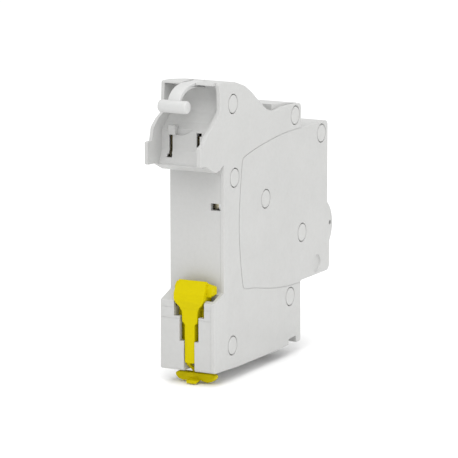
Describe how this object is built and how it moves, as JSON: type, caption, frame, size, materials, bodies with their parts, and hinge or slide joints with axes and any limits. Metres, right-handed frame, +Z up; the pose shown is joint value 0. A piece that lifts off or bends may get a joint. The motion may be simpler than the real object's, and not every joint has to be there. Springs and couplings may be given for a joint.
{
  "type": "circuit breaker",
  "caption": "One-module rail-mounted circuit breaker with a switched neutral, front toggle, rear-top comb plug-in socket, screw terminals below and a sliding rail clip.",
  "frame": {"origin": "centre of the rail seat face, where the breaker rests on a 35 mm rail", "axes": "+Y out of the rail seat towards the rail and the wall, +Z up, X across the one-module width; the toggle faces -Y"},
  "size_m": [0.018, 0.0887, 0.0888],
  "materials": {
    "housing_plastic": "fine matte moulded texture, pale warm grey",
    "cover_plastic": "fine matte moulded texture, pale warm grey",
    "plug_plastic": "smooth matte, pale grey",
    "yellow_clip": "satin moulded, strong yellow",
    "toggle_plastic": "satin moulded, black",
    "nylon_mechanism": "moulded nylon, dark grey",
    "zinc_steel": "zinc-plated steel",
    "copper": "bare copper strip",
    "tinned_brass": "tinned brass",
    "silver_contact": "silver contact pad",
    "fibre_sheet": "pressed insulating fibre, red-brown",
    "flag_plastic": "moulded green",
    "enamelled_copper": "enamelled winding wire",
    "bimetal_steel": "rolled bimetal strip"
  },
  "bodies": {
    "housing": {"base_housing": "housing_plastic", "side_cover": "cover_plastic", "rivet_plug_1": "plug_plastic", "rivet_plug_2": "plug_plastic", "rivet_plug_3": "plug_plastic", "rivet_plug_4": "plug_plastic", "rivet_plug_5": "plug_plastic", "rivet_plug_6": "plug_plastic", "rivet_plug_7": "plug_plastic", "rivet_plug_8": "plug_plastic", "toggle_pin": "zinc_steel", "toggle_spring": "zinc_steel", "carrier_pin": "zinc_steel", "phase_fixed_tip": "silver_contact", "neutral_fixed_tip": "silver_contact", "phase_fixed_strap": "copper", "neutral_line_strap": "copper", "phase_jaw": "tinned_brass", "neutral_jaw": "tinned_brass", "coil_bobbin": "nylon_mechanism", "trip_coil": "enamelled_copper", "coil_yoke": "zinc_steel", "coil_core": "zinc_steel", "plunger_spring": "zinc_steel", "trip_lever_pin": "zinc_steel", "bimetal_strip": "bimetal_steel", "bimetal_bracket": "zinc_steel", "calibration_screw": "tinned_brass", "pole_divider": "fibre_sheet", "arc_plate_1": "zinc_steel", "arc_plate_2": "zinc_steel", "arc_plate_3": "zinc_steel", "arc_plate_4": "zinc_steel", "arc_plate_5": "zinc_steel", "arc_plate_6": "zinc_steel", "arc_sheet_left": "fibre_sheet", "arc_sheet_right": "fibre_sheet", "lower_arc_runner": "zinc_steel", "phase_load_strap": "copper", "neutral_load_strap": "copper", "phase_braid": "copper", "neutral_braid": "copper"},
    "toggle": {"toggle_handle": "toggle_plastic", "crank_pin": "zinc_steel"},
    "link": {"drive_link": "zinc_steel"},
    "carrier": {"contact_carrier": "nylon_mechanism", "phase_contact_arm": "copper", "phase_moving_tip": "silver_contact", "neutral_contact_arm": "copper", "neutral_moving_tip": "silver_contact"},
    "flag": {"position_flag": "flag_plastic"},
    "armature": {"plunger": "zinc_steel"},
    "trip": {"trip_lever": "nylon_mechanism"},
    "phase_screw": {"phase_terminal_screw": "zinc_steel"},
    "neutral_screw": {"neutral_terminal_screw": "zinc_steel"},
    "phase_clamp": {"phase_terminal_cage": "zinc_steel"},
    "neutral_clamp": {"neutral_terminal_cage": "zinc_steel"},
    "latch": {"comb_latch_lever": "housing_plastic"},
    "clip": {"rail_clip": "yellow_clip"}
  },
  "joints": [
    {"name": "toggle_swing", "type": "hinge", "parent": "housing", "child": "toggle", "pos_m": [0, -0.0621, -0.0111], "axis": [-1, 0, 0], "range_deg": [0, 78]},
    {"name": "link_swing", "type": "hinge", "parent": "toggle", "child": "link", "pos_m": [0, -0.05961, -0.00909], "axis": [1, 0, 0], "range_deg": [0, 80.5]},
    {"name": "carrier_swing", "type": "hinge", "parent": "housing", "child": "carrier", "pos_m": [0, -0.04, 0.004], "axis": [1, 0, 0], "range_deg": [0, 23.2]},
    {"name": "flag_swing", "type": "hinge", "parent": "housing", "child": "flag", "pos_m": [0, -0.0604, 0.0065], "axis": [1, 0, 0], "range_deg": [0, 40]},
    {"name": "plunger_slide", "type": "slide", "parent": "housing", "child": "armature", "axis": [0, -1, 0], "range_m": [0, 0.0026], "stiffness_N_per_m": 50, "deforming": ["plunger_spring"]},
    {"name": "trip_swing", "type": "hinge", "parent": "housing", "child": "trip", "pos_m": [0, -0.036, 0.0105], "axis": [1, 0, 0], "range_deg": [0, 8.1]},
    {"name": "phase_screw_turn", "type": "hinge", "parent": "housing", "child": "phase_screw", "pos_m": [-0.0043, -0.043, -0.036], "axis": [0, -1, 0], "range_deg": [0, 1800]},
    {"name": "phase_clamp_slide", "type": "slide", "parent": "housing", "child": "phase_clamp", "axis": [0, -1, 0], "range_m": [0, 0.0035]},
    {"name": "neutral_screw_turn", "type": "hinge", "parent": "housing", "child": "neutral_screw", "pos_m": [0.005, -0.043, -0.036], "axis": [0, -1, 0], "range_deg": [0, 1800]},
    {"name": "neutral_clamp_slide", "type": "slide", "parent": "housing", "child": "neutral_clamp", "axis": [0, -1, 0], "range_m": [0, 0.0035]},
    {"name": "latch_lift", "type": "hinge", "parent": "housing", "child": "latch", "pos_m": [0, -0.0009, 0.0403], "axis": [1, 0, 0], "range_deg": [0, 12], "stiffness_Nm_per_rad": 0.02},
    {"name": "clip_slide", "type": "slide", "parent": "housing", "child": "clip", "axis": [0, 0, -1], "range_m": [0, 0.0027], "stiffness_N_per_m": 500}
  ],
  "couplings": [
    {"joint": "link_swing", "follows": "toggle_swing", "ratio": 1.025},
    {"joint": "carrier_swing", "follows": "toggle_swing", "ratio": 0.2949},
    {"joint": "flag_swing", "follows": "toggle_swing", "ratio": 0.5},
    {"joint": "trip_swing", "follows": "plunger_slide", "rad_per_m": 53.7},
    {"joint": "phase_screw_turn", "follows": "phase_clamp_slide", "rad_per_m": 8975.9},
    {"joint": "neutral_screw_turn", "follows": "neutral_clamp_slide", "rad_per_m": 8975.9}
  ]
}
